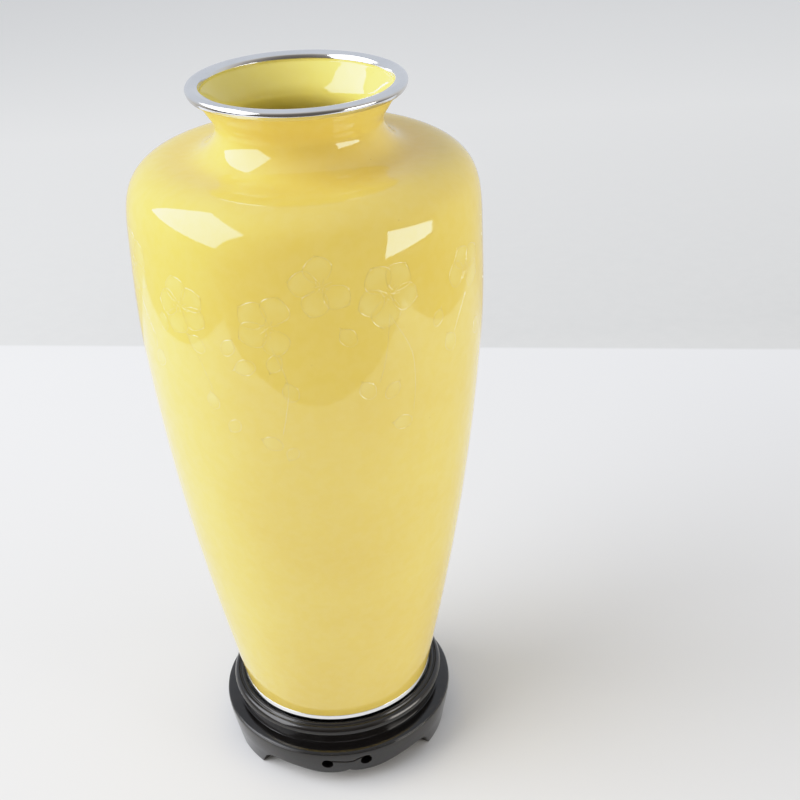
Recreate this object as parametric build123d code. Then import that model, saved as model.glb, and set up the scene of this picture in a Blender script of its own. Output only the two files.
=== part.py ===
from build123d import *
import math
import os

# Cloisonne vase on a turned and carved hardwood stand.
# Millimetres, +Z up. Origin: centre of the footprint, on the surface the stand rests on.

# ---------------------------------------------------------------- driving dimensions
# vase
FOOT_Z = 24.0            # underside of the silver foot ring, resting on the stand's floor panel
FOOT_TOP = 29.9          # top of the foot ring, where the enamel begins
FOOT_R_LOW = 37.25       # foot ring outer radius at its underside
FOOT_IN_R = 34.2         # foot ring inner radius
FOOT_BEAD_R = 38.45      # bead round the top of the foot ring
RIM_Z = 266.8            # plane on which the mouth ring sits
RIM_TOP = 270.1          # highest point of the mouth ring
RIM_IN_R = 31.5          # bore of the mouth ring
RIM_OUT_R = 36.2         # largest radius of the mouth ring
RIM_SEAT_R = 35.5        # outer radius of the mouth ring's underside
LIP_TOP = 268.4          # top of the inner enamel, which runs up inside the mouth ring
RIM_BORE_TOP = 269.1     # top of the straight part of the mouth ring's bore
T_ENAMEL = 0.9           # outer enamel
T_COPPER = 1.0           # spun copper
T_INNER = 0.6            # counter enamel
BASE_T = 1.2             # copper base plate
SEAM_LOW = 196.0         # seam between the copper's lower wall and its shoulder, at the widest place
SEAM_NECK = 248.5        # seam between the copper's shoulder and its neck
# outer profile of the enamel, control points (r, z) of a clamped uniform cubic B-spline
BODY = [(37.50, 26.87), (42.02, 48.50), (48.02, 80.27), (54.85, 124.12), (59.10, 166.30),
        (60.85, 193.92), (60.15, 221.17), (59.78, 239.85), (47.93, 247.15), (35.40, 245.40),
        (29.30, 250.70), (26.90, 256.60), (30.40, 261.30), (32.60, 264.90), (35.00, 267.20)]

# stand
FOOT_OUT_R = 43.6        # outer radius of the feet on the ground
APRON_TOP = 17.0
APRON_R = 46.3           # widest radius of the stand
APRON_IN_R = 38.8
SHOULDER_TOP = 18.6
SHOULDER_LIP_R = 41.4     # rounded inner edge of the shoulder's slope
SHOULDER_IN_R = 35.0
WAIST_TOP = 23.3
WAIST_R = 41.0           # waist at its two ends
WAIST_MID_R = 40.75      # waist at its middle
WAIST_IN_R = 33.0
RABBET_R = 38.1
PANEL_R = 37.9
PANEL_Z0 = 21.0
PANEL_Z1 = 24.0
RECESS_R = 38.3          # recess that the vase's foot stands in
STAND_TOP = 27.3
LOBES = 3                # carved lobes between three feet
LOBE_AZ = 2.0            # azimuth of the front lobe's middle, from -Y towards +X
HOLE_R = 2.2
HOLES = [(-10.7, 11.6), (8.6, 12.0)]          # azimuth from the lobe's middle, height
# lower edge of one lobe: azimuth from the lobe's middle, height
EDGE = [(-51.6, -1.0), (-50.6, 0.8), (-48.8, 3.4), (-46.0, 6.3), (-42.5, 8.1), (-38.5, 8.6),
        (-33.0, 8.3), (-26.0, 7.6), (-19.0, 6.5), (-13.0, 5.9), (-8.5, 5.8), (-4.0, 6.2), (-1.2, 6.8), (0.0, 7.2),
        (1.2, 6.8), (4.0, 6.2), (8.5, 5.8), (13.0, 5.9), (19.0, 6.5), (26.0, 7.6), (33.0, 8.3), (38.5, 8.6),
        (42.5, 8.1), (46.0, 6.3), (48.8, 3.4), (50.6, 0.8), (51.6, -1.0)]


# ---------------------------------------------------------------- helpers
def bspline(cp, n):
    """Points on a clamped uniform cubic B-spline."""
    k, m = 3, len(cp)
    t = [0.0] * k + [float(i) for i in range(m - k + 1)] + [float(m - k)] * k
    out = []
    for s in range(n + 1):
        u = (m - k) * s / n
        u = min(u, m - k - 1e-9)
        i = int(u) + k
        d = [list(cp[j + i - k]) for j in range(k + 1)]
        for r in range(1, k + 1):
            for j in range(k, r - 1, -1):
                a = (u - t[j + i - k]) / (t[j + 1 + i - r] - t[j + i - k])
                d[j] = [(1 - a) * d[j - 1][0] + a * d[j][0], (1 - a) * d[j - 1][1] + a * d[j][1]]
        out.append((d[k][0], d[k][1]))
    return out


DENSE = bspline(BODY, 720)


def layer(depth, z_lo, z_hi, n=34):
    """The body profile moved inwards by depth along its normal, cut at two heights,
    as n points spread evenly by length with more of them at the shoulder and neck."""
    pts = []
    for i, (r, z) in enumerate(DENSE):
        a = DENSE[max(i - 1, 0)]
        b = DENSE[min(i + 1, len(DENSE) - 1)]
        tx, tz = b[0] - a[0], b[1] - a[1]
        ln = math.hypot(tx, tz)
        # going up the wall, the inward normal is (-tz, tx)
        pts.append((r - depth * tz / ln, z + depth * tx / ln))
    # straight extensions at both ends
    a, b = pts[0], pts[1]
    q = (z_lo - 2 - a[1]) / (b[1] - a[1])
    pts.insert(0, (a[0] + q * (b[0] - a[0]), z_lo - 2))
    a, b = pts[-2], pts[-1]
    q = (z_hi + 2 - a[1]) / (b[1] - a[1])
    pts.append((a[0] + q * (b[0] - a[0]), z_hi + 2))
    # keep the longest run between the two heights, with exact end points
    out = []
    started = False
    for i in range(len(pts) - 1):
        a, b = pts[i], pts[i + 1]
        if not started and a[1] <= z_lo < b[1]:
            q = (z_lo - a[1]) / (b[1] - a[1])
            out.append((a[0] + q * (b[0] - a[0]), z_lo))
            started = True
        if started:
            if i > len(pts) // 2 and a[1] < z_hi <= b[1]:
                q = (z_hi - a[1]) / (b[1] - a[1])
                out.append((a[0] + q * (b[0] - a[0]), z_hi))
                break
            out.append(b)
    # spread by length, weighted towards tight curvature
    w = [0.0]
    for i in range(1, len(out)):
        d = math.dist(out[i], out[i - 1])
        turn = 0.0
        if i < len(out) - 1:
            a1 = math.atan2(out[i][1] - out[i - 1][1], out[i][0] - out[i - 1][0])
            a2 = math.atan2(out[i + 1][1] - out[i][1], out[i + 1][0] - out[i][0])
            turn = abs((a2 - a1 + math.pi) % (2 * math.pi) - math.pi)
        w.append(w[-1] + d / 300.0 + turn / 3.2)
    res = [out[0]]
    for k in range(1, n - 1):
        t = w[-1] * k / (n - 1)
        i = next(j for j in range(1, len(w)) if w[j] >= t)
        q = (t - w[i - 1]) / (w[i] - w[i - 1])
        res.append((out[i - 1][0] + q * (out[i][0] - out[i - 1][0]), out[i - 1][1] + q * (out[i][1] - out[i - 1][1])))
    res.append(out[-1])
    return res


def V(p):
    return Vector(p[0], 0, p[1])


def poly(*pts):
    return [Line(V(a), V(b)) for a, b in zip(pts, pts[1:])]


def curve(pts):
    return Spline(*[V(p) for p in pts])


def turned(edges):
    """Revolve a closed (r, z) outline about Z."""
    return revolve(make_face(edges), Axis.Z, 360)


# ---------------------------------------------------------------- vase
outer = layer(0.0, FOOT_TOP, RIM_Z)
mid1 = layer(T_ENAMEL, FOOT_TOP, RIM_Z)
mid2 = layer(T_ENAMEL + T_COPPER, FOOT_TOP, RIM_Z)
mid2b = layer(T_ENAMEL + T_COPPER, FOOT_TOP + BASE_T, RIM_Z)
inner = layer(T_ENAMEL + T_COPPER + T_INNER, FOOT_TOP + BASE_T + T_INNER, RIM_Z)

outer_enamel = turned([curve(outer), Line(V(outer[-1]), V(mid1[-1])), curve(mid1), Line(V(mid1[0]), V(outer[0]))])
# the copper is spun in three lengths that butt at two brazed seams, both under the enamel
copper = turned([curve(mid1), Line(V(mid1[-1]), V(mid2b[-1])), curve(mid2b),
                 Line(V(mid2b[0]), V(mid2[0])), Line(V(mid2[0]), V(mid1[0]))])
copper_lower = split(copper, Plane.XY.offset(SEAM_LOW), keep=Keep.BOTTOM)
copper_upper = split(copper, Plane.XY.offset(SEAM_LOW), keep=Keep.TOP)
copper_shoulder = split(copper_upper, Plane.XY.offset(SEAM_NECK), keep=Keep.BOTTOM)
copper_neck = split(copper_upper, Plane.XY.offset(SEAM_NECK), keep=Keep.TOP)
base_plate = turned(poly((0, FOOT_TOP), (mid2[0][0], FOOT_TOP), mid2b[0], (0, FOOT_TOP + BASE_T), (0, FOOT_TOP)))
inner_enamel = turned([curve(inner)] + poly(inner[-1], (RIM_IN_R - 0.05, LIP_TOP), (mid2b[-1][0], LIP_TOP), mid2b[-1]) + [curve(mid2b)]
                      + poly(mid2b[0], (0, FOOT_TOP + BASE_T), (0, FOOT_TOP + BASE_T + T_INNER), inner[0]))
base_enamel = turned(poly((0, FOOT_TOP - T_INNER), (FOOT_IN_R, FOOT_TOP - T_INNER), (FOOT_IN_R, FOOT_TOP),
                          (0, FOOT_TOP), (0, FOOT_TOP - T_INNER)))

# silver foot ring: a turned band with a small bead under the enamel, tapered below it and softened at its lower corners
foot_ring = turned(poly((FOOT_IN_R, FOOT_TOP), (outer[0][0], FOOT_TOP))
                   + [Spline(V((outer[0][0], FOOT_TOP)), V((FOOT_BEAD_R - 0.02, FOOT_TOP - 0.4)), V((FOOT_BEAD_R - 0.02, FOOT_TOP - 0.9)),
                             V((37.95, FOOT_TOP - 1.5)), tangents=[(1, 0, -0.3), (-0.8, 0, -1)])]
                   + poly((37.95, FOOT_TOP - 1.5), (FOOT_R_LOW, FOOT_Z + 0.5), (FOOT_R_LOW - 0.4, FOOT_Z),
                          (FOOT_IN_R + 0.4, FOOT_Z), (FOOT_IN_R, FOOT_Z + 0.4), (FOOT_IN_R, FOOT_TOP)))

# silver mouth ring: a band rounded over its inner and outer edges, rebated underneath for the lip of the inner enamel
mouth_ring = turned(poly((mid2b[-1][0], RIM_Z), (mid2b[-1][0], LIP_TOP), (RIM_IN_R, LIP_TOP), (RIM_IN_R, RIM_BORE_TOP))
                    + [Spline(V((RIM_IN_R, RIM_BORE_TOP)), V((RIM_IN_R + 0.24, RIM_TOP - 0.5)), V((RIM_IN_R + 0.8, RIM_TOP - 0.16)),
                              V((RIM_IN_R + 1.7, RIM_TOP)), tangents=[(0, 0, 1), (1, 0, 0)]),
                       Line(V((RIM_IN_R + 1.7, RIM_TOP)), V((RIM_OUT_R - 1.8, RIM_TOP))),
                       Spline(V((RIM_OUT_R - 1.8, RIM_TOP)), V((RIM_OUT_R - 0.65, RIM_TOP - 0.38)), V((RIM_OUT_R, RIM_TOP - 1.4)),
                              tangents=[(1, 0, 0), (0, 0, -1)]),
                       Spline(V((RIM_OUT_R, RIM_TOP - 1.4)), V((RIM_OUT_R - 0.18, RIM_TOP - 2.4)), V((RIM_SEAT_R, RIM_Z)),
                              tangents=[(0, 0, -1), (-0.45, 0, -1)])]
                    + poly((RIM_SEAT_R, RIM_Z), (mid2b[-1][0], RIM_Z)))

# ---------------------------------------------------------------- stand
seat_ring = turned(poly((RECESS_R, STAND_TOP - 0.8), (RECESS_R, WAIST_TOP), (42.2, WAIST_TOP))
                   + [Spline(V((42.2, WAIST_TOP)), V((42.55, 23.75)), V((42.65, 24.6)), V((42.4, 25.6)),
                             V((41.75, 26.45)), V((41.0, 26.85))),
                      Spline(V((41.0, 26.85)), V((40.5, 26.5)), V((40.05, 26.8)),
                             tangents=[(-1, 0, -1.0), (-0.2, 0, 1)]),
                      Spline(V((40.05, 26.8)), V((39.35, STAND_TOP)), V((RECESS_R, STAND_TOP - 0.8)),
                             tangents=[(-0.2, 0, 1), (-0.1, 0, -1)])])
floor_panel = turned(poly((0, PANEL_Z0), (PANEL_R, PANEL_Z0), (PANEL_R, PANEL_Z1), (0, PANEL_Z1), (0, PANEL_Z0)))
waist_mid_z = (SHOULDER_TOP + WAIST_TOP) / 2
waist_ring = turned(poly((WAIST_R, WAIST_TOP), (RABBET_R, WAIST_TOP), (RABBET_R, PANEL_Z0), (WAIST_IN_R, PANEL_Z0),
                         (WAIST_IN_R, SHOULDER_TOP), (WAIST_R, SHOULDER_TOP))
                    + [ThreePointArc(V((WAIST_R, SHOULDER_TOP)), V((WAIST_MID_R, waist_mid_z)), V((WAIST_R, WAIST_TOP)))])
shoulder_ring = turned(poly((SHOULDER_IN_R, SHOULDER_TOP), (SHOULDER_IN_R, APRON_TOP), (APRON_R - 0.25, APRON_TOP))
                       + [Spline(V((APRON_R - 0.25, APRON_TOP)), V((APRON_R - 0.22, APRON_TOP + 0.3)), V((APRON_R - 0.9, APRON_TOP + 0.72)),
                                 V((APRON_R - 2.7, APRON_TOP + 1.15)), V((APRON_R - 4.3, APRON_TOP + 1.4)),
                                 V((SHOULDER_LIP_R, SHOULDER_TOP - 0.08)))]
                       + poly((SHOULDER_LIP_R, SHOULDER_TOP - 0.08), (SHOULDER_LIP_R - 0.15, SHOULDER_TOP), (SHOULDER_IN_R, SHOULDER_TOP)))

apron_blank = turned(poly((FOOT_OUT_R, 0), (APRON_IN_R, 0), (APRON_IN_R, APRON_TOP), (APRON_R - 0.3, APRON_TOP))
                     + [Spline(V((APRON_R - 0.3, APRON_TOP)), V((APRON_R, APRON_TOP - 0.6)), V((45.75, 12.0)),
                               V((44.75, 6.7)), V((FOOT_OUT_R, 0)))])
# one bay between two feet, cut along radial lines
NEAR, FAR = 30.0, 60.0


def edge_face(dist):
    """The bay's outline on the plane at this distance in front of the axis."""
    n = len(EDGE)
    pts = [Vector(dist * math.tan(math.radians(a)), -dist, z) for a, z in EDGE]
    top = Edge.make_spline(pts, parameters=[i / (n - 1) for i in range(n)])
    bottom = Edge.make_line(pts[-1], pts[0])
    return Face(Wire([top, bottom]))


bay = Solid.make_loft([edge_face(NEAR).outer_wire(), edge_face(FAR).outer_wire()], True)
apron = apron_blank
for i in range(LOBES):
    turn = LOBE_AZ + 360.0 * i / LOBES
    apron = apron - Rot(0, 0, turn) * bay
    for az, z in HOLES:
        a = math.radians(turn + az)
        d = Vector(math.sin(a), -math.cos(a), 0)
        drill = Solid.make_cylinder(HOLE_R, 30, Plane(origin=d * 30 + Vector(0, 0, z), z_dir=d))
        apron = apron - drill

# ---------------------------------------------------------------- export
os.makedirs("parts", exist_ok=True)
nodes = {
    "copper_lower": copper_lower,
    "copper_shoulder": copper_shoulder,
    "copper_neck": copper_neck,
    "base_plate": base_plate,
    "outer_enamel": outer_enamel,
    "inner_enamel": inner_enamel,
    "base_enamel": base_enamel,
    "mouth_ring": mouth_ring,
    "foot_ring": foot_ring,
    "seat_ring": seat_ring,
    "floor_panel": floor_panel,
    "waist_ring": waist_ring,
    "shoulder_ring": shoulder_ring,
    "apron": apron,
}
for name, shape in nodes.items():
    export_step(shape, "parts/" + name + ".step")
    print(name, round(shape.volume, 1))
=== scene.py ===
import math
import random

import bpy
import bmesh
from mathutils import Matrix, Vector


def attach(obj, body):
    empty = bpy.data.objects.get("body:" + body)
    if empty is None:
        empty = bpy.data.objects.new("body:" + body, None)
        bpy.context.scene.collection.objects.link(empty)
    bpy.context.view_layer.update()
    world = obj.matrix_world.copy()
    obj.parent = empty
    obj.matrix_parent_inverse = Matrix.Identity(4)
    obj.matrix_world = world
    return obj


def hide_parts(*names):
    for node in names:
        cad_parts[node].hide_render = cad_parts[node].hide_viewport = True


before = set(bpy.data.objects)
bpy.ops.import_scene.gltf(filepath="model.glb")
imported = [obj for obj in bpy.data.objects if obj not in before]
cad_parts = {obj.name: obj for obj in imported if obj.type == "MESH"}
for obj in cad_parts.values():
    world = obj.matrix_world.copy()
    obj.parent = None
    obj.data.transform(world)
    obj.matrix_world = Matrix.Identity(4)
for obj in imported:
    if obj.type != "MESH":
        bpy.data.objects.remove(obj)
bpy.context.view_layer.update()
MM = 0.001

# ------------------------------------------------------------------ profiles (mm), as in the CAD
BODY = [(37.50, 26.87), (42.02, 48.50), (48.02, 80.27), (54.85, 124.12), (59.10, 166.30),
        (60.85, 193.92), (60.15, 221.17), (59.78, 239.85), (47.93, 247.15), (35.40, 245.40),
        (29.30, 250.70), (26.90, 256.60), (30.40, 261.30), (32.60, 264.90), (35.00, 267.20)]
FOOT_TOP, RIM_Z = 29.9, 266.8


def bspline(cp, n):
    k, m = 3, len(cp)
    t = [0.0] * k + [float(i) for i in range(m - k + 1)] + [float(m - k)] * k
    out = []
    for s in range(n + 1):
        u = min((m - k) * s / n, m - k - 1e-9)
        i = int(u) + k
        d = [list(cp[j + i - k]) for j in range(k + 1)]
        for r in range(1, k + 1):
            for j in range(k, r - 1, -1):
                a = (u - t[j + i - k]) / (t[j + 1 + i - r] - t[j + i - k])
                d[j] = [(1 - a) * d[j - 1][0] + a * d[j][0], (1 - a) * d[j - 1][1] + a * d[j][1]]
        out.append((d[k][0], d[k][1]))
    return out


# the visible skin lies 0.03 mm inside the CAD outline, so that the cells and wires on it stay within the CAD box
DENSE = [(r - 0.03, z) for r, z in bspline(BODY, 1200)]


def layer(depth, z_lo, z_hi, n):
    """The wall profile moved inwards by depth and cut at two heights, as n points."""
    pts = []
    for i, (r, z) in enumerate(DENSE):
        a, b = DENSE[max(i - 1, 0)], DENSE[min(i + 1, len(DENSE) - 1)]
        tx, tz = b[0] - a[0], b[1] - a[1]
        ln = math.hypot(tx, tz)
        pts.append((r - depth * tz / ln, z + depth * tx / ln))
    a, b = pts[0], pts[1]
    q = (z_lo - 2 - a[1]) / (b[1] - a[1])
    pts.insert(0, (a[0] + q * (b[0] - a[0]), z_lo - 2))
    a, b = pts[-2], pts[-1]
    q = (z_hi + 2 - a[1]) / (b[1] - a[1])
    pts.append((a[0] + q * (b[0] - a[0]), z_hi + 2))
    out, started = [], False
    for i in range(len(pts) - 1):
        a, b = pts[i], pts[i + 1]
        if not started and a[1] <= z_lo < b[1]:
            q = (z_lo - a[1]) / (b[1] - a[1])
            out.append((a[0] + q * (b[0] - a[0]), z_lo))
            started = True
        if started:
            if i > len(pts) // 2 and a[1] < z_hi <= b[1]:
                q = (z_hi - a[1]) / (b[1] - a[1])
                out.append((a[0] + q * (b[0] - a[0]), z_hi))
                break
            out.append(b)
    w = [0.0]
    for i in range(1, len(out)):
        d = math.dist(out[i], out[i - 1])
        turn = 0.0
        if i < len(out) - 1:
            a1 = math.atan2(out[i][1] - out[i - 1][1], out[i][0] - out[i - 1][0])
            a2 = math.atan2(out[i + 1][1] - out[i][1], out[i + 1][0] - out[i][0])
            turn = abs((a2 - a1 + math.pi) % (2 * math.pi) - math.pi)
        w.append(w[-1] + d / 300.0 + turn / 3.2)
    res, i = [out[0]], 1
    for k in range(1, n - 1):
        t = w[-1] * k / (n - 1)
        while w[i] < t:
            i += 1
        q = (t - w[i - 1]) / (w[i] - w[i - 1])
        res.append((out[i - 1][0] + q * (out[i][0] - out[i - 1][0]), out[i - 1][1] + q * (out[i][1] - out[i - 1][1])))
    res.append(out[-1])
    return res


def smooth(pts, k=8):
    """Centripetal-like Catmull-Rom through the points."""
    out = []
    for i in range(len(pts) - 1):
        p0 = pts[i - 1] if i else (2 * pts[0][0] - pts[1][0], 2 * pts[0][1] - pts[1][1])
        p1, p2 = pts[i], pts[i + 1]
        p3 = pts[i + 2] if i + 2 < len(pts) else (2 * p2[0] - p1[0], 2 * p2[1] - p1[1])
        for s in range(k):
            t = s / k
            out.append(tuple(0.5 * (2 * b + (c - a) * t + (2 * a - 5 * b + 4 * c - d) * t * t + (3 * b - a - 3 * c + d) * t ** 3)
                             for a, b, c, d in zip(p0, p1, p2, p3)))
    out.append(pts[-1])
    return out


# ------------------------------------------------------------------ mesh helpers
def new_object(name, verts, faces, angle=38):
    me = bpy.data.meshes.new(name)
    me.from_pydata(verts, [], faces)
    me.validate()
    me.shade_smooth()
    me.set_sharp_from_angle(angle=math.radians(angle))
    ob = bpy.data.objects.new(name, me)
    bpy.context.scene.collection.objects.link(ob)
    return ob


def lathe(name, profile, seg=480, closed=True, angle=38):
    """Turn a (r, z) outline in mm about Z. A closed outline gives a watertight ring; points on the axis close with a pole."""
    verts, rows = [], []
    for r, z in profile:
        if r < 1e-6:
            rows.append([len(verts)])
            verts.append((0, 0, z * MM))
        else:
            rows.append(list(range(len(verts), len(verts) + seg)))
            for k in range(seg):
                a = 2 * math.pi * k / seg
                verts.append((r * MM * math.cos(a), r * MM * math.sin(a), z * MM))
    faces = []
    pairs = list(zip(rows, rows[1:]))
    if closed:
        pairs.append((rows[-1], rows[0]))
    for a, b in pairs:
        if len(a) == 1 and len(b) == 1:
            continue
        for k in range(seg):
            k2 = (k + 1) % seg
            if len(a) == 1:
                faces.append((a[0], b[k2], b[k]))
            elif len(b) == 1:
                faces.append((a[k], a[k2], b[0]))
            else:
                faces.append((a[k], a[k2], b[k2], b[k]))
    ob = new_object(name, verts, faces, angle)
    bm = bmesh.new()
    bm.from_mesh(ob.data)
    bmesh.ops.recalc_face_normals(bm, faces=bm.faces)
    bm.to_mesh(ob.data)
    bm.free()
    return ob


# ------------------------------------------------------------------ material helpers
class Mat:
    def __init__(self, name):
        self.m = bpy.data.materials.new(name)
        self.m.use_nodes = True
        self.nt = self.m.node_tree
        self.b = self.nt.nodes["Principled BSDF"]
        self.co = self.nt.nodes.new("ShaderNodeTexCoord").outputs["Object"]

    def node(self, kind, **kw):
        n = self.nt.nodes.new(kind)
        for k, v in kw.items():
            setattr(n, k, v)
        return n

    def link(self, a, b):
        self.nt.links.new(a, b)

    def mapping(self, scale, rot=(0, 0, 0)):
        n = self.node("ShaderNodeMapping")
        n.inputs["Scale"].default_value = scale
        n.inputs["Rotation"].default_value = rot
        self.link(self.co, n.inputs["Vector"])
        return n.outputs[0]

    def noise(self, scale, detail=2.0, rough=0.5, vec=None, distortion=0.0):
        n = self.node("ShaderNodeTexNoise")
        n.inputs["Scale"].default_value = scale
        n.inputs["Detail"].default_value = detail
        n.inputs["Roughness"].default_value = rough
        n.inputs["Distortion"].default_value = distortion
        self.link(vec or self.co, n.inputs["Vector"])
        return n.outputs["Fac"]

    def ramp(self, fac, stops):
        n = self.node("ShaderNodeValToRGB")
        cr = n.color_ramp
        while len(cr.elements) > 1:
            cr.elements.remove(cr.elements[-1])
        cr.elements[0].position = stops[0][0]
        cr.elements[0].color = (*stops[0][1], 1) if len(stops[0][1]) == 3 else stops[0][1]
        for p, c in stops[1:]:
            e = cr.elements.new(p)
            e.color = (*c, 1)
        self.link(fac, n.inputs["Fac"])
        return n.outputs["Color"]

    def rng(self, fac, a, b, c, d):
        n = self.node("ShaderNodeMapRange")
        n.inputs["From Min"].default_value = a
        n.inputs["From Max"].default_value = b
        n.inputs["To Min"].default_value = c
        n.inputs["To Max"].default_value = d
        self.link(fac, n.inputs["Value"])
        return n.outputs[0]

    def math(self, op, a, b):
        n = self.node("ShaderNodeMath", operation=op)
        for i, v in enumerate((a, b)):
            if isinstance(v, (int, float)):
                n.inputs[i].default_value = v
            else:
                self.link(v, n.inputs[i])
        return n.outputs[0]

    def mix(self, fac, a, b, blend="MIX"):
        n = self.node("ShaderNodeMix", data_type="RGBA", blend_type=blend)
        for sock, v in ((n.inputs[0], fac), (n.inputs[6], a), (n.inputs[7], b)):
            if isinstance(v, (int, float)):
                sock.default_value = v
            elif isinstance(v, tuple):
                sock.default_value = (*v, 1)
            else:
                self.link(v, sock)
        return n.outputs[2]

    def bump(self, height, strength, distance, normal=None):
        n = self.node("ShaderNodeBump")
        n.inputs["Strength"].default_value = strength
        n.inputs["Distance"].default_value = distance
        self.link(height, n.inputs["Height"])
        if normal is not None:
            self.link(normal, n.inputs["Normal"])
        return n.outputs[0]

    def set(self, **kw):
        for k, v in kw.items():
            sock = self.b.inputs[k.replace("_", " ")]
            if hasattr(v, "links") or hasattr(v, "is_linked"):
                self.link(v, sock)
            else:
                sock.default_value = v if not (isinstance(v, tuple) and len(v) == 3) else (*v, 1)
        return self

    def use(self, *obs):
        for ob in obs:
            if ob.data.materials:
                for i in range(len(ob.data.materials)):
                    ob.data.materials[i] = self.m
            else:
                ob.data.materials.append(self.m)


def enamel(name, deep, light, pale=None, petal=False):
    """Fired and polished glass enamel: soft cloudy colour, tiny gas specks, a faint polishing waviness."""
    m = Mat(name)
    cloud = m.noise(22.0, 3.0, 0.55)
    fine = m.noise(260.0, 2.0, 0.5)
    col = m.ramp(m.rng(cloud, 0.32, 0.68, 0.0, 1.0), [(0.0, deep), (1.0, light)])
    col = m.mix(m.rng(fine, 0.35, 0.65, 0.0, 0.05), col, (0.95, 0.88, 0.55))
    if petal:
        tone = m.node("ShaderNodeAttribute", attribute_name="tone").outputs["Fac"]
        col = m.mix(tone, col, pale)
    specks = m.node("ShaderNodeTexVoronoi", feature="F1")
    specks.inputs["Scale"].default_value = 95.0
    m.link(m.co, specks.inputs["Vector"])
    dots = m.rng(specks.outputs["Distance"], 0.012, 0.02, 0.5, 0.0)
    col = m.mix(dots, col, (0.32, 0.2, 0.06))
    wave = m.noise(38.0, 1.0, 0.4)
    peel = m.noise(520.0, 1.0, 0.5)
    n1 = m.bump(wave, 0.28, 0.0006)
    n2 = m.bump(peel, 0.05, 0.0001, n1)
    rough = m.rng(m.noise(60.0, 2.0, 0.5), 0.3, 0.7, 0.035, 0.075)
    m.set(Base_Color=col, Roughness=rough, Normal=n2)
    m.b.inputs["IOR"].default_value = 1.6
    return m


def silver(name):
    m = Mat(name)
    tarnish = m.noise(55.0, 3.0, 0.6)
    col = m.ramp(tarnish, [(0.3, (0.76, 0.775, 0.80)), (0.7, (0.84, 0.85, 0.865))])
    # fine polishing lines that run round the band
    sep = m.node("ShaderNodeSeparateXYZ")
    m.link(m.co, sep.inputs[0])
    rad = m.math("SQRT", m.math("ADD", m.math("MULTIPLY", sep.outputs[0], sep.outputs[0]),
                                m.math("MULTIPLY", sep.outputs[1], sep.outputs[1])), 0)
    comb = m.node("ShaderNodeCombineXYZ")
    m.link(m.math("MULTIPLY", rad, 5200.0), comb.inputs[0])
    m.link(m.math("MULTIPLY", sep.outputs[2], 5200.0), comb.inputs[1])
    lines = m.noise(1.0, 2.0, 0.5, comb.outputs[0])
    n1 = m.bump(lines, 0.05, 0.00004)
    dents = m.noise(150.0, 1.0, 0.5)
    n2 = m.bump(dents, 0.10, 0.0003, n1)
    rough = m.rng(m.noise(240.0, 3.0, 0.6), 0.3, 0.7, 0.06, 0.13)
    m.set(Base_Color=col, Metallic=1.0, Roughness=rough, Normal=n2)
    return m


def wood(name, scale=(1.0, 1.0, 1.0)):
    """Dark brown hardwood under satin lacquer, with short pores along the grain and lighter sharp edges: partly rubbed
    wear, partly a painted edge highlight.
    """
    m = Mat(name)
    v1 = m.mapping((14 * scale[0], 120 * scale[1], 120 * scale[2]))
    grain = m.noise(1.0, 6.0, 0.62, v1, 0.5)
    v2 = m.mapping((60 * scale[0], 1500 * scale[1], 1500 * scale[2]))
    pores = m.noise(1.0, 3.0, 0.6, v2)
    col = m.ramp(grain, [(0.25, (0.0045, 0.0041, 0.0040)), (0.5, (0.0075, 0.0066, 0.0063)), (0.75, (0.014, 0.0116, 0.0106))])
    col = m.mix(m.rng(pores, 0.52, 0.70, 0.0, 0.55), col, (0.006, 0.0045, 0.004))
    geo = m.node("ShaderNodeNewGeometry")
    # lighter colour on sharp edges, taken from pointiness: partly rubbed wear, partly a painted edge highlight
    edge_wear_and_highlight = m.rng(geo.outputs["Pointiness"], 0.54, 0.62, 0.0, 0.3)
    edge_wear_and_highlight = m.math("MULTIPLY", edge_wear_and_highlight, m.rng(m.noise(180.0, 3.0, 0.6), 0.4, 0.65, 0.2, 1.0))
    col = m.mix(edge_wear_and_highlight, col, (0.06, 0.046, 0.036))
    n1 = m.bump(pores, 0.22, 0.00008)
    n2 = m.bump(m.noise(70.0, 2.0, 0.5), 0.10, 0.0008, n1)
    rough = m.rng(m.noise(130.0, 3.0, 0.55), 0.3, 0.7, 0.12, 0.22)
    m.set(Base_Color=col, Roughness=rough, Normal=n2)
    m.b.inputs["Coat Weight"].default_value = 0.15
    m.b.inputs["Coat Roughness"].default_value = 0.08
    m.b.inputs["Coat IOR"].default_value = 1.5
    return m


def copper(name):
    m = Mat(name)
    col = m.ramp(m.noise(60.0, 4.0, 0.6), [(0.3, (0.50, 0.22, 0.12)), (0.7, (0.72, 0.38, 0.24))])
    m.set(Base_Color=col, Metallic=1.0, Roughness=m.rng(m.noise(300.0, 2.0, 0.5), 0.3, 0.7, 0.28, 0.42),
          Normal=m.bump(m.noise(400.0, 2.0, 0.5), 0.1, 0.0001))
    return m


# ------------------------------------------------------------------ camera: the photograph's viewing angle
F_PX = 1282.2
yaw, pitch, roll = math.radians(4.141), math.radians(29.768), math.radians(2.023)
D = 0.269 / 0.6520
cam_pos = Vector((0.0, -D, 0.9313 * D))
fwd = Vector((math.sin(yaw) * math.cos(pitch), math.cos(yaw) * math.cos(pitch), -math.sin(pitch)))
right = Vector((math.cos(yaw), -math.sin(yaw), 0.0))
down = fwd.cross(right)
r2 = math.cos(roll) * right + math.sin(roll) * down
d2 = -math.sin(roll) * right + math.cos(roll) * down
cam_data = bpy.data.cameras.new("camera")
cam = bpy.data.objects.new("camera", cam_data)
bpy.context.scene.collection.objects.link(cam)
rot = Matrix((r2, -d2, -fwd)).transposed().to_4x4()
cam.matrix_world = Matrix.Translation(cam_pos) @ rot
cam_data.sensor_fit = "HORIZONTAL"
cam_data.sensor_width = 36.0
cam_data.lens = F_PX / 800 * 36.0
cam_data.clip_start = 0.01
cam_data.clip_end = 50
bpy.context.scene.camera = cam
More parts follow.
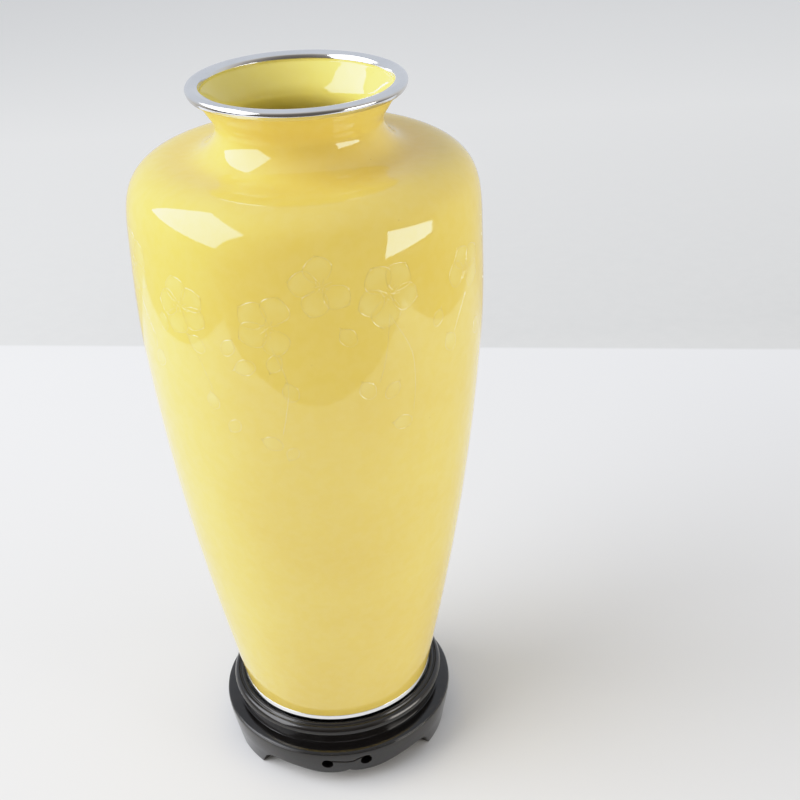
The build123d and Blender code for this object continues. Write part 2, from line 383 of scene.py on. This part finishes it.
# a photographic response: straight in the mid tones, with a soft shoulder in each channel
vs = bpy.context.scene.view_settings
vs.view_transform = "Standard"
vs.use_curve_mapping = True
cmap = vs.curve_mapping
cmap.clip_max_x = 4.0
cmap.clip_max_y = 1.0
resp = cmap.curves[3]
resp.points[0].location = (0.0, 0.0)
resp.points[1].location = (4.0, 1.0)
for x, y in [(0.30, 0.30), (0.60, 0.60), (0.80, 0.765), (1.00, 0.865), (1.30, 0.935), (2.00, 0.985)]:
    resp.points.new(x, y)
cmap.update()

# ------------------------------------------------------------------ vase
outer = layer(0.0, FOOT_TOP, RIM_Z, 300)
mid1 = layer(0.9, FOOT_TOP, RIM_Z, 90)
inner = layer(2.5, 31.7, RIM_Z, 220)
mid2 = layer(1.9, 31.1, RIM_Z, 90)

body = lathe("enamel_outside", outer + mid1[::-1], seg=540)
inside = lathe("enamel_inside", [(0, 31.7)] + inner[:-1]
               + smooth([inner[-1], (31.33, 267.04), (31.42, 267.3), (31.455, 267.6), (31.51, 267.8), (31.6, 267.86)], 4)
               + [(mid2[-1][0], 267.86)] + mid2[::-1] + [(0, 31.1)],
               seg=420, closed=False)
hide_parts("outer_enamel")
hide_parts("inner_enamel")

ring_pts = [(31.98, 266.8), (31.98, 267.86), (31.6, 267.86)] \
    + smooth([(31.5, 267.9), (31.51, 268.1), (31.64, 268.5), (31.79, 268.9), (31.93, 269.2), (32.12, 269.44), (32.4, 269.6), (32.8, 269.74), (33.3, 269.9)], 6) \
    + smooth([(33.8, 270.03), (34.4, 270.09), (35.05, 269.96), (35.55, 269.72), (35.95, 269.3), (36.18, 268.7), (36.14, 268.2), (36.0, 267.8), (35.75, 267.2), (35.5, 266.8)], 6)
mouth = lathe("mouth_band", ring_pts, seg=480, angle=50)
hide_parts("mouth_ring")

foot_pts = [(34.2, 29.9), (37.95, 29.9)] + smooth([(38.06, 29.87), (38.14, 29.78), (38.22, 29.45), (38.30, 29.05), (38.38, 28.65), (38.42, 28.42), (38.40, 28.27), (38.28, 28.16),
                                                   (38.05, 28.08), (37.9, 27.85), (37.5, 25.8), (37.25, 24.5), (37.1, 24.15), (36.8, 24.0)], 5) \
    + [(34.7, 24.0), (34.35, 24.15), (34.2, 24.5)]
foot = lathe("foot_band", foot_pts, seg=420, angle=50)
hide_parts("foot_ring")

# ------------------------------------------------------------------ blossom cells and their wires
ARC = [0.0]
for a, b in zip(DENSE, DENSE[1:]):
    ARC.append(ARC[-1] + math.dist(a, b))


def arc_at(z):
    for i, (r, zz) in enumerate(DENSE):
        if zz >= z:
            return ARC[i]
    return ARC[-1]


def on_body(az, s, lift):
    """Point on the enamel at azimuth az (radians, from -Y towards +X) and profile length s, lifted by lift mm."""
    lo, hi = 0, len(ARC) - 1
    while hi - lo > 1:
        mid = (lo + hi) // 2
        if ARC[mid] <= s:
            lo = mid
        else:
            hi = mid
    q = (s - ARC[lo]) / (ARC[hi] - ARC[lo])
    a, b = DENSE[lo], DENSE[hi]
    p0, p1 = DENSE[max(lo - 3, 0)], DENSE[min(hi + 3, len(DENSE) - 1)]
    tx, tz = p1[0] - p0[0], p1[1] - p0[1]
    ln = math.hypot(tx, tz)
    r = a[0] + q * (b[0] - a[0]) + lift * tz / ln
    z = a[1] + q * (b[1] - a[1]) - lift * tx / ln
    return (r * math.sin(az) * MM, -r * math.cos(az) * MM, z * MM)


def r_at(s):
    i = min(range(0, len(ARC), 4), key=lambda j: abs(ARC[j] - s))
    return DENSE[i][0]


petal_v, petal_f, petal_tone = [], [], []
wire_v, wire_f = [], []


def add_wire(points, radius=0.026):
    """A fine wire along (az, s) points, half sunk in the enamel, closed at its ends."""
    n = 6
    pos = [Vector(on_body(a, s, 0.0)) for a, s in points]
    nor = [(Vector(on_body(a, s, 1.0)) - p).normalized() for (a, s), p in zip(points, pos)]
    base = len(wire_v)
    for i, p in enumerate(pos):
        t = (pos[min(i + 1, len(pos) - 1)] - pos[max(i - 1, 0)]).normalized()
        side = t.cross(nor[i]).normalized()
        for k in range(n):
            a = 2 * math.pi * k / n
            wire_v.append(tuple(p + (side * math.cos(a) + nor[i] * (math.sin(a) * 0.6)) * radius * MM))
    for i in range(len(pos) - 1):
        for k in range(n):
            k2 = (k + 1) % n
            wire_f.append((base + i * n + k, base + i * n + k2, base + (i + 1) * n + k2, base + (i + 1) * n + k))
    wire_f.append(tuple(base + k for k in range(n))[::-1])
    wire_f.append(tuple(base + (len(pos) - 1) * n + k for k in range(n)))


def add_petal(az0, s0, ang, length, width, notch, strength, curl=0.0):
    """One enamel cell: a petal from its root at (az0, s0), pointing at ang, as a thin closed tile just proud of the ground."""
    rows, cols = 12, 10
    r0 = r_at(s0)
    top, bot = [], []

    def place(u, v):
        # u along the petal 0..1, v across -1..1
        w = width * (math.sin(math.pi * min(1.0, u * 0.93 + 0.07) ** 1.25) ** 0.72)
        x = v * w * 0.5
        y = u * length * (1 - notch * math.exp(-(v * 2.4) ** 2) * u ** 3) - 0.10 * length * (v * v) * u
        x += curl * u * u * length
        c, s = math.cos(ang), math.sin(ang)
        gx, gy = x * c - y * s, x * s + y * c
        return az0 + gx / r0, s0 + gy

    for i in range(rows + 1):
        for j in range(cols + 1):
            u, v = i / rows, -1 + 2 * j / cols
            a, s = place(0.06 + 0.94 * u, v)
            top.append(len(petal_v))
            petal_v.append(on_body(a, s, 0.007))
            edge = min(1.0, (1 - abs(v)) * 2.2, (1 - u) * 3.2)
            edge = edge * edge * (3 - 2 * edge)
            petal_tone.append(0.62 * strength * (0.05 + 0.95 * u ** 0.9) * (0.1 + 0.9 * edge))
    for i in range(rows + 1):
        for j in range(cols + 1):
            u, v = i / rows, -1 + 2 * j / cols
            a, s = place(0.06 + 0.94 * u, v)
            bot.append(len(petal_v))
            petal_v.append(on_body(a, s, -0.06))
            petal_tone.append(0.0)
    W = cols + 1
    for i in range(rows):
        for j in range(cols):
            a, b, c, d = i * W + j, i * W + j + 1, (i + 1) * W + j + 1, (i + 1) * W + j
            petal_f.append((top[a], top[b], top[c], top[d]))
            petal_f.append((bot[d], bot[c], bot[b], bot[a]))
    rim = [j for j in range(W)] + [i * W + cols for i in range(1, rows + 1)] \
        + [rows * W + j for j in range(cols - 1, -1, -1)] + [i * W for i in range(rows - 1, 0, -1)]
    for k in range(len(rim)):
        a, b = rim[k], rim[(k + 1) % len(rim)]
        petal_f.append((top[b], top[a], bot[a], bot[b]))
    outline = [place(0.06, 0.0)]
    outline += [place(0.06 + 0.94 * i / 14, -1) for i in range(1, 15)]
    outline += [place(1.0, -1 + 2 * j / 10) for j in range(1, 11)]
    outline += [place(0.06 + 0.94 * i / 14, 1) for i in range(13, 0, -1)]
    outline.append(place(0.06, 0.0))
    add_wire(outline)


rnd = random.Random(11)


def blossom(az_deg, z, size, spin, petals=5, strength=0.6, skip=()):
    az0, s0 = math.radians(az_deg), arc_at(z)
    for k in range(petals):
        if k in skip:
            continue
        ang = spin + 2 * math.pi * k / petals + rnd.uniform(-0.08, 0.08)
        gap = size * 0.10
        gx, gy = -math.sin(ang) * gap, math.cos(ang) * gap
        add_petal(az0 + gx / r_at(s0), s0 + gy, ang, size * rnd.uniform(0.92, 1.04), size * rnd.uniform(0.80, 0.92),
                  rnd.uniform(0.10, 0.18), strength * rnd.uniform(0.75, 1.1), rnd.uniform(-0.08, 0.08))
    # stamens: short wires from the heart
    for k in range(7):
        ang = spin + 2 * math.pi * (k + 0.5) / 7
        ln = size * rnd.uniform(0.26, 0.38)
        pts = [(az0 - math.sin(ang) * ln * t / r_at(s0), s0 + math.cos(ang) * ln * t) for t in (0.15, 0.45, 0.75, 1.0)]
        add_wire(pts, 0.022)


def bud(az_deg, z, size, ang, strength=0.6):
    add_petal(math.radians(az_deg), arc_at(z) - size * 0.5 * math.cos(ang), ang, size, size * 0.62, 0.0, strength)


def stem(points):
    pts = [(math.radians(a), arc_at(z)) for a, z in points]
    add_wire(smooth(pts, 8), 0.024)


# azimuth, height, petal length, turn, strength, petals left out
FLOWERS = [(-43, 212, 10.4, 0.35, 0.62, ()), (-13, 210, 11.0, 0.9, 0.5, (3,)), (3, 223, 10.4, 0.15, 0.5, (4,)), (23, 217, 11.2, 0.55, 0.66, ()),
           (56, 214, 10.2, 0.3, 0.6, (2,)), (84, 220, 10.6, 0.8, 0.6, ()), (108, 208, 10.0, 0.2, 0.6, (1,)), (132, 219, 10.8, 0.5, 0.6, ()),
           (158, 210, 10.2, 1.0, 0.6, ()), (184, 221, 10.6, 0.35, 0.6, (4,)), (209, 209, 10.2, 0.7, 0.6, ()), (235, 218, 10.6, 0.15, 0.6, ()),
           (262, 209, 10.2, 0.6, 0.6, (0,)), (290, 219, 10.8, 0.4, 0.6, ())]
for az, z, size, spin, st, skip in FLOWERS:
    blossom(az, z, size, spin, 5, st, skip)
BUDS = [(-35, 200.5, 8.6, 0.9, 0.7), (-28.5, 201.5, 7.6, -0.5, 0.6), (-34, 180.4, 7.6, 0.15, 0.8), (-18, 195, 9.0, 1.9, 0.45), (-11, 197, 8.0, 2.7, 0.4),
        (-7, 187.2, 8.4, 0.35, 0.42), (12, 205, 8.6, 0.6, 0.4), (17, 185, 8.6, 0.5, 0.45), (21, 183, 8.0, -0.7, 0.4), (31, 169.3, 8.6, 1.35, 0.5),
        (-12, 167, 8.4, 1.2, 0.45), (-8, 163, 6.4, 2.6, 0.3), (-26, 172, 7.0, 2.5, 0.35), (49, 192, 9.0, 0.5, 0.6), (40, 203, 7.0, -0.4, 0.4),
        (66, 190, 8.0, 0.4, 0.6), (76, 202, 7.0, -0.7, 0.5), (92, 184, 8.4, 1.1, 0.6), (112, 190, 7.6, -0.2, 0.6), (124, 174, 8.0, 1.8, 0.5),
        (141, 198, 7.6, 0.5, 0.6), (160, 186, 8.4, -0.9, 0.6), (173, 201, 7.0, 0.3, 0.6), (190, 178, 8.0, 1.4, 0.5), (204, 192, 7.4, -0.4, 0.6),
        (221, 200, 7.0, 0.9, 0.6), (236, 183, 8.4, 2.0, 0.6), (252, 192, 7.6, -1.1, 0.6), (270, 176, 8.0, 0.3, 0.5), (284, 199, 7.6, 0.8, 0.6),
        (301, 189, 8.0, -0.5, 0.6), (308, 204, 7.4, 0.1, 0.6)]
for az, z, size, ang, st in BUDS:
    bud(az, z, size, ang, st)
for pts in ([(-43, 205), (-38, 196), (-35, 188), (-34, 184)], [(-13, 203), (-9, 190), (-10.5, 178), (-12, 171)],
            [(23, 210), (22, 200), (20.5, 192), (19, 187)], [(23, 210), (30, 196), (31.5, 184), (31, 173)],
            [(56, 206), (52, 200), (50, 197), (49, 195)], [(84, 213), (88, 200), (91, 192), (92, 188)],
            [(108, 201), (112, 190), (119, 180), (123, 177)], [(158, 204), (159, 196), (160, 192), (160, 189)],
            [(184, 214), (188, 198), (190, 186), (190, 181)], [(235, 211), (238, 200), (237, 190), (236, 186)],
            [(262, 202), (266, 192), (270, 184), (270, 179)], [(290, 212), (297, 202), (301, 196), (301, 192)]):
    stem(pts)

petals = new_object("blossom_cells", petal_v, petal_f, 50)
att = petals.data.attributes.new("tone", "FLOAT", "POINT")
att.data.foreach_set("value", petal_tone)
wires = new_object("cell_wires", wire_v, wire_f, 80)
for ob in (petals, wires):
    bm = bmesh.new()
    bm.from_mesh(ob.data)
    bmesh.ops.recalc_face_normals(bm, faces=bm.faces)
    bm.to_mesh(ob.data)
    bm.free()

# ------------------------------------------------------------------ stand
seat_out = smooth([(42.1, 23.3), (42.38, 23.45), (42.58, 23.85), (42.66, 24.5), (42.6, 25.1), (42.36, 25.7), (41.9, 26.32), (41.4, 26.7), (41.0, 26.84)], 7)
seat_groove = smooth([(41.0, 26.84), (40.72, 26.64), (40.5, 26.5), (40.25, 26.56), (40.05, 26.8)], 5)
seat_lip = smooth([(40.05, 26.8), (39.8, 27.1), (39.4, 27.27), (38.95, 27.24), (38.55, 27.05), (38.32, 26.7), (38.3, 26.3)], 6)
seat = lathe("upper_moulding", seat_out + seat_groove[1:] + seat_lip[1:] + [(38.3, 23.3)], seg=480, angle=55)
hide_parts("seat_ring")
waist = lathe("waist_band", smooth([(41.0, 18.6), (40.86, 19.2), (40.77, 20.2), (40.75, 20.95), (40.77, 21.7), (40.86, 22.7), (41.0, 23.3)], 5)
              + [(38.1, 23.3), (38.1, 21.0), (33.0, 21.0), (33.0, 18.6)], seg=480, angle=45)
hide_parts("waist_ring")
shoulder = lathe("lower_moulding", [(35.0, 17.0), (45.75, 17.0)] + smooth([(45.98, 17.04), (46.06, 17.2), (45.9, 17.46), (45.3, 17.75), (44.5, 17.98), (43.6, 18.15),
                                                                         (42.8, 18.28), (42.0, 18.4), (41.7, 18.45)], 6)
                 + smooth([(41.55, 18.47), (41.42, 18.53), (41.25, 18.6), (41.1, 18.6)], 4) + [(35.0, 18.6)], seg=480, angle=45)
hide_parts("shoulder_ring")
panel = lathe("seat_panel", [(0, 21.0), (37.6, 21.0), (37.85, 21.2), (37.9, 21.5), (37.9, 23.7), (37.7, 23.95), (37.4, 24.0), (0, 24.0)], seg=300, closed=False)
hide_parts("floor_panel")

EDGE = [(-51.6, -1.0), (-50.6, 0.8), (-48.8, 3.4), (-46.0, 6.3), (-42.5, 8.1), (-38.5, 8.6),
        (-33.0, 8.3), (-26.0, 7.6), (-19.0, 6.5), (-13.0, 5.9), (-8.5, 5.8), (-4.0, 6.2), (-1.2, 6.8), (0.0, 7.2),
        (1.2, 6.8), (4.0, 6.2), (8.5, 5.8), (13.0, 5.9), (19.0, 6.5), (26.0, 7.6), (33.0, 8.3), (38.5, 8.6),
        (42.5, 8.1), (46.0, 6.3), (48.8, 3.4), (50.6, 0.8), (51.6, -1.0)]
EDGE_D = smooth(EDGE, 24)
LINE = smooth([(-9.0, 13.35), (-6.0, 13.15), (-2.0, 12.75), (0.4, 12.62), (2.5, 12.85), (4.5, 13.65), (6.5, 14.2), (8.6, 14.42), (10.4, 14.05)], 10)
HOLES = [(-10.7, 11.6), (8.6, 12.0)]
APRON_OUT = smooth([(43.6, 0.0), (44.1, 3.0), (44.75, 6.7), (45.3, 9.4), (45.75, 12.0), (46.1, 14.6), (46.22, 16.0), (46.2, 16.5)], 10)


def edge_at(a):
    a = (a - 2.0 + 60.0) % 120.0 - 60.0
    if abs(a) >= 51.1:
        return 0.0, a
    for (a0, z0), (a1, z1) in zip(EDGE_D, EDGE_D[1:]):
        if a0 <= a <= a1:
            return max(0.0, z0 + (z1 - z0) * (a - a0) / max(a1 - a0, 1e-9)), a
    return 0.0, a


def out_r(z):
    for (ra, za), (rb, zb) in zip(APRON_OUT, APRON_OUT[1:]):
        if za <= z <= zb:
            return ra + (rb - ra) * (z - za) / max(zb - za, 1e-9)
    return APRON_OUT[-1][0] if z > 1 else APRON_OUT[0][0]


def carve(a, z):
    """Depth of the carved line at this place on the face."""
    if not (-11.5 < a < 12.5 and 11.8 < z < 15.2):
        return 0.0
    best = min((math.radians(a - la) * 46) ** 2 + (z - lz) ** 2 for la, lz in LINE)
    return 0.42 * math.exp(-best / 0.075)


N_AZ, N_ROW = 1440, 72
av, rows_n = [], None
for c in range(N_AZ):
    az = 360.0 * c / N_AZ
    e, la = edge_at(az)
    sec = []
    z0, z1 = e + 0.45, 16.5
    for i in range(N_ROW + 1):
        z = z1 + (z0 - z1) * i / N_ROW
        sec.append((out_r(z) - carve(la, z), z))
    rb = out_r(e)
    sec += [(rb - 0.04, e + 0.24), (rb - 0.14, e + 0.1), (rb - 0.3, e + 0.02), (rb - 0.5, e)]
    sec += [(41.2, e), (39.3, e), (39.0, e + 0.06), (38.85, e + 0.2), (38.8, e + 0.5)]
    sec += [(38.8, e + 0.5 + (17.0 - e - 0.5) * t) for t in (0.33, 0.66, 1.0)]
    sec += [(42.0, 17.0), (45.7, 17.0), (46.0, 16.93), (46.14, 16.75)]
    rows_n = len(sec)
    A = math.radians(az)
    for r, z in sec:
        av.append((r * MM * math.sin(A), -r * MM * math.cos(A), z * MM))
af = []
for c in range(N_AZ):
    c2 = (c + 1) % N_AZ
    for i in range(rows_n):
        i2 = (i + 1) % rows_n
        af.append((c * rows_n + i, c2 * rows_n + i, c2 * rows_n + i2, c * rows_n + i2))
apron = new_object("carved_apron", av, af, 40)
bm = bmesh.new()
bm.from_mesh(apron.data)
bmesh.ops.recalc_face_normals(bm, faces=bm.faces)
bm.to_mesh(apron.data)
bm.free()
# drilled holes
cv, cf = [], []
for lobe in range(3):
    for ha, hz in HOLES:
        A = math.radians(2.0 + 120 * lobe + ha)
        d = Vector((math.sin(A), -math.cos(A), 0))
        s = Vector((math.cos(A), math.sin(A), 0))
        n = 40
        base = len(cv)
        for dist, rr in ((36.0, 2.2), (45.2, 2.2), (45.75, 2.3), (46.6, 2.75)):
            for k in range(n):
                t = 2 * math.pi * k / n
                p = d * dist + s * (rr * math.cos(t)) + Vector((0, 0, hz + rr * math.sin(t)))
                cv.append(tuple(p * MM))
        for q in range(3):
            for k in range(n):
                k2 = (k + 1) % n
                cf.append((base + q * n + k, base + q * n + k2, base + (q + 1) * n + k2, base + (q + 1) * n + k))
        cf.append(tuple(base + k for k in range(n))[::-1])
        cf.append(tuple(base + 3 * n + k for k in range(n)))
cutter = new_object("cutter", cv, cf)
bm = bmesh.new()
bm.from_mesh(cutter.data)
bmesh.ops.recalc_face_normals(bm, faces=bm.faces)
bm.to_mesh(cutter.data)
bm.free()
mod = apron.modifiers.new("holes", "BOOLEAN")
mod.operation = "DIFFERENCE"
mod.solver = "EXACT"
mod.object = cutter
dg = bpy.context.evaluated_depsgraph_get()
cut = bpy.data.meshes.new_from_object(apron.evaluated_get(dg))
apron.modifiers.clear()
apron.data = cut
cut.shade_smooth()
cut.set_sharp_from_angle(angle=math.radians(40))
bpy.data.objects.remove(cutter)
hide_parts("apron")

# ------------------------------------------------------------------ materials
yellow = enamel("yellow_enamel", (0.79, 0.58, 0.115), (0.82, 0.62, 0.135))
yellow.use(body)
cells = enamel("blossom_enamel", (0.79, 0.58, 0.115), (0.82, 0.62, 0.135), pale=(0.86, 0.76, 0.32), petal=True)
cells.use(petals)
# inside of the neck and the base: the inside enamel's own yellow, set lighter and more golden than the outside so the
# interior reads brighter, partly its own colour and partly painted light
inside_enamel_and_light = enamel("counter_enamel", (0.91, 0.765, 0.165), (0.94, 0.81, 0.195))
inside_enamel_and_light.use(inside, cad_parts["base_enamel"])
sil = silver("polished_silver")
sil.use(mouth, foot)
wire_mat = silver("wire_silver")
wire_mat.use(wires)
w1 = wood("lacquered_wood")
w1.use(seat, waist, shoulder, panel, apron)
cop = copper("spun_copper")
cop.use(*[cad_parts[n] for n in ("copper_lower", "copper_shoulder", "copper_neck", "base_plate")])

for ob in (body, inside, mouth, foot, petals, wires):
    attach(ob, "vase")
for ob in (seat, waist, shoulder, panel, apron):
    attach(ob, "stand")


# ------------------------------------------------------------------ floor and soft light
def plane(name, x0, x1, y0, y1, z):
    me = bpy.data.meshes.new(name)
    me.from_pydata([(x0, y0, z), (x1, y0, z), (x1, y1, z), (x0, y1, z)], [], [(0, 1, 2, 3)])
    ob = bpy.data.objects.new(name, me)
    bpy.context.scene.collection.objects.link(ob)
    return ob


floor_m = Mat("pale_floor")
sep = floor_m.node("ShaderNodeSeparateXYZ")
floor_m.link(floor_m.co, sep.inputs[0])
# the far part of the sweep is a little greyer, past a soft line
side = floor_m.math("ADD", floor_m.math("MULTIPLY", sep.outputs[0], 0.161), sep.outputs[1])
far = floor_m.rng(side, 0.3335, 0.3365, 0.0, 1.0)
near_c = floor_m.ramp(floor_m.noise(5.0, 2.0, 0.5), [(0.3, (0.785, 0.785, 0.785)), (0.7, (0.805, 0.805, 0.80))])
# the near sheet turns lighter and bluer towards its back edge: painted light
near_c = floor_m.mix(floor_m.rng(sep.outputs[1], 0.06, 0.335, 0.0, 1.0), near_c, (0.925, 0.935, 0.96))
far_c = floor_m.ramp(floor_m.noise(90.0, 3.0, 0.6), [(0.3, (0.730, 0.733, 0.720)), (0.7, (0.750, 0.752, 0.738))])
# the far surface turns lighter further back: painted light
far_c = floor_m.mix(floor_m.rng(sep.outputs[1], 0.335, 0.80, 0.0, 1.0), far_c, (0.99, 0.99, 0.97))
floor_m.set(Base_Color=floor_m.mix(far, near_c, far_c), Roughness=0.65)
floor_m.b.inputs["Specular IOR Level"].default_value = 0.2
sheet = plane("floor_near", -0.44, 0.46, -0.31, 0.335, 0.0)
ground = plane("floor_far", -6, 6, -6, 6, -0.0002)
floor_m.use(sheet, ground)
ground.visible_glossy = False


def area(name, corner_a, corner_b, corner_d, energy, color):
    """A rectangular soft light whose sides run a-b and a-d (mm), facing the vase."""
    a, b, d = (Vector(c) * MM for c in (corner_a, corner_b, corner_d))
    x, y = (d - a), (b - a)
    lx, ly = x.length, y.length
    x.normalize()
    y = (y - x * y.dot(x)).normalized()
    centre = a + (d - a) / 2 + (b - a) / 2
    z = x.cross(y)
    if z.dot(Vector((0, 0, 0.2)) - centre) > 0:
        y = -y
        z = -z
    ld = bpy.data.lights.new(name, "AREA")
    ld.shape = "RECTANGLE"
    ld.size, ld.size_y = lx, ly
    ld.energy = energy
    ld.color = color
    ob = bpy.data.objects.new(name, ld)
    bpy.context.scene.collection.objects.link(ob)
    ob.matrix_world = Matrix.Translation(centre) @ Matrix((x, y, z)).transposed().to_4x4()
    ob.visible_camera = False
    return ob


LEFT = ((-907, 391, 477), (-654, 234, 1248), (-1067, -716, 214))
RIGHT = ((447, -479, 382), (590, -491, 56), (1670, -247, 309))
area("softbox_left", *LEFT, 14.0, (0.98, 0.99, 1.03))
# the same softbox again, for its reflection only
area("softbox_left_glint", *LEFT, 9.5, (0.98, 0.99, 1.02)).visible_diffuse = False
area("softbox_right", *RIGHT, 9.2, (1.0, 0.96, 0.90))

world = bpy.data.worlds.new("studio")
bpy.context.scene.world = world
world.use_nodes = True
wt = world.node_tree
bg = wt.nodes["Background"]
tc = wt.nodes.new("ShaderNodeTexCoord")
ws = wt.nodes.new("ShaderNodeSeparateXYZ")
wt.links.new(tc.outputs["Generated"], ws.inputs[0])
m1 = wt.nodes.new("ShaderNodeMath"); m1.operation = "MULTIPLY_ADD"
wt.links.new(ws.outputs[1], m1.inputs[0]); m1.inputs[1].default_value = 0.8; m1.inputs[2].default_value = 0.0
m2 = wt.nodes.new("ShaderNodeMath"); m2.operation = "MULTIPLY_ADD"
wt.links.new(ws.outputs[2], m2.inputs[0]); m2.inputs[1].default_value = 0.9
wt.links.new(m1.outputs[0], m2.inputs[2])
mr = wt.nodes.new("ShaderNodeMapRange")
mr.interpolation_type = "SMOOTHSTEP"
mr.inputs["From Min"].default_value = -0.5
mr.inputs["From Max"].default_value = 0.75
wt.links.new(m2.outputs[0], mr.inputs["Value"])
ramp = wt.nodes.new("ShaderNodeValToRGB")
ramp.color_ramp.elements[0].color = (0.13, 0.115, 0.10, 1)
ramp.color_ramp.elements[1].color = (0.65, 0.68, 0.74, 1)
mid = ramp.color_ramp.elements.new(0.62)
mid.color = (0.62, 0.59, 0.545, 1)
wt.links.new(mr.outputs[0], ramp.inputs[0])
lp = wt.nodes.new("ShaderNodeLightPath")
cm = wt.nodes.new("ShaderNodeMix"); cm.data_type = "RGBA"
wt.links.new(lp.outputs["Is Camera Ray"], cm.inputs[0])
wt.links.new(ramp.outputs[0], cm.inputs[6])
cm.inputs[7].default_value = (0.72, 0.72, 0.71, 1)
wt.links.new(cm.outputs[2], bg.inputs["Color"])
bg.inputs["Strength"].default_value = 1.0
